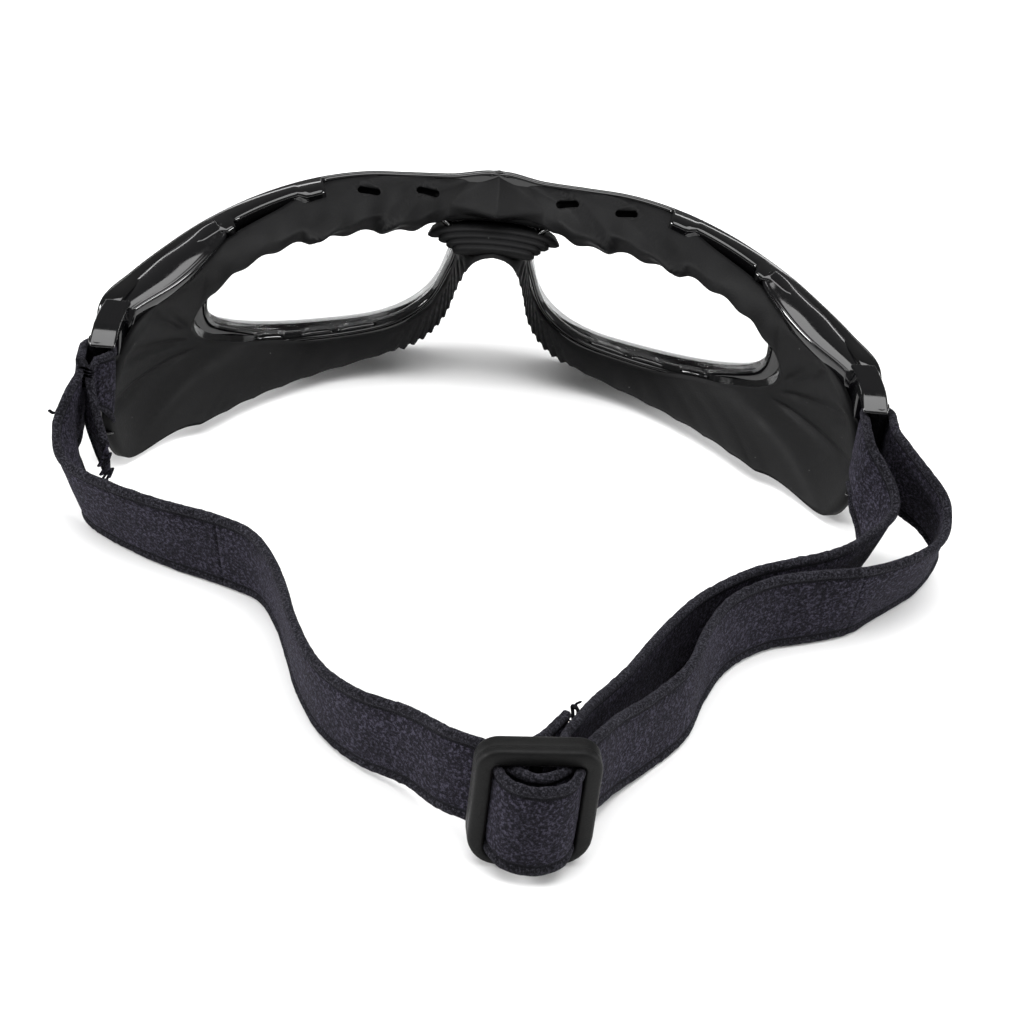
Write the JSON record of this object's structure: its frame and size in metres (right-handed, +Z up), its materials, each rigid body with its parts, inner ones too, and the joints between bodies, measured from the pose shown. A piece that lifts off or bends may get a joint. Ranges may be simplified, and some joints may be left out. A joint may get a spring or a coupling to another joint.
{
  "type": "sports protective goggles",
  "caption": "Wrap-round sports goggles with a glossy black frame, clear lenses, a soft black face gasket and an elastic head strap that swings at the sides and adjusts with a slider.",
  "frame": {"origin": "on the table, under the middle of the whole object's box", "axes": "+X towards the wearer's left, +Y back towards the wearer's head and the strap's slider, +Z up; the frame's mirror plane is x = 0.0044 m"},
  "size_m": [0.1859, 0.1838, 0.0467],
  "materials": {
    "frame_plastic": "polished black polycarbonate",
    "adapter_plastic": "polished black nylon",
    "retainer_plastic": "glossy black moulding",
    "clear_lens": "clear hard-coated polycarbonate",
    "gasket_rubber": "matt charcoal silicone rubber",
    "strap_elastic": "brushed knitted elastic, dark navy grey",
    "thread": "black sewing thread",
    "slider_plastic": "matt dark grey nylon"
  },
  "bodies": {
    "frame": {"front_frame": "frame_plastic", "lens_left": "clear_lens", "lens_right": "clear_lens", "lens_retainer_left": "retainer_plastic", "lens_retainer_right": "retainer_plastic", "strap_adapter_left": "adapter_plastic", "strap_adapter_right": "adapter_plastic", "face_gasket": "gasket_rubber", "strap_loop_left": "strap_elastic", "strap_loop_right": "strap_elastic"},
    "strap": {"strap_left_root": "strap_elastic", "strap_left_run": "strap_elastic", "strap_left_end": "strap_elastic", "strap_outer_root": "strap_elastic", "strap_outer_run": "strap_elastic", "strap_outer_end": "strap_elastic", "strap_inner_root": "strap_elastic", "strap_inner_run": "strap_elastic", "strap_inner_end": "strap_elastic", "strap_tail": "strap_elastic", "strap_stitching": "thread"},
    "slider": {"slider": "slider_plastic", "strap_bridge": "strap_elastic", "strap_sewn_loop": "strap_elastic", "slider_stitching": "thread"}
  },
  "joints": [
    {"name": "strap_tilt", "type": "hinge", "parent": "frame", "child": "strap", "pos_m": [0.0044, -0.0293, 0.0205], "axis": [1, 0, 0], "range_deg": [0, 45], "deforming": ["strap_left_root", "strap_outer_root", "strap_inner_root", "strap_tail", "strap_stitching"]},
    {"name": "slider_slide", "type": "slide", "parent": "strap", "child": "slider", "axis": [0.9962, 0.0872, 0], "range_m": [-0.01, 0.01], "deforming": ["strap_left_end", "strap_outer_end", "strap_inner_end"]}
  ]
}
